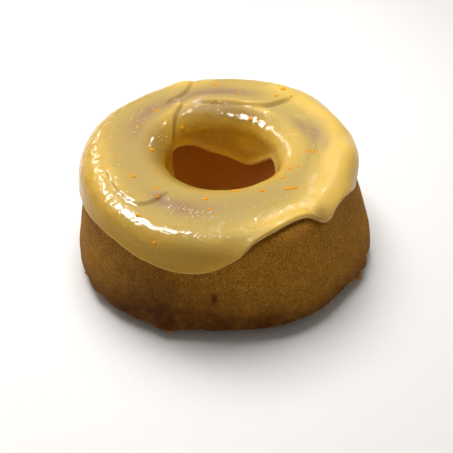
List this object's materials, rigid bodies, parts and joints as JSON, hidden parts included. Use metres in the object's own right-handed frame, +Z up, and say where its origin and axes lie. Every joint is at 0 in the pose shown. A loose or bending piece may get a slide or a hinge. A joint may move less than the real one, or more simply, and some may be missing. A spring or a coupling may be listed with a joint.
{
  "type": "iced ring cake",
  "caption": "Round sponge ring cake with a hole through its middle, under poured orange icing that hangs down its side and into the hole, with flecks of zest.",
  "frame": {"origin": "centre of the cake's bounding box at the level of its flat bottom", "axes": "+Z is up, through the hole; -Y faces the front, where the icing hangs lowest; +X is to the right"},
  "size_m": [0.1936, 0.1969, 0.0757],
  "materials": {
    "sponge": "matt golden brown crust with a fine crumb",
    "icing": "wet glossy orange icing, yellow where thick and buff where thin"
  },
  "bodies": {
    "root": {"sponge": "sponge", "icing": "icing"}
  },
  "joints": []
}
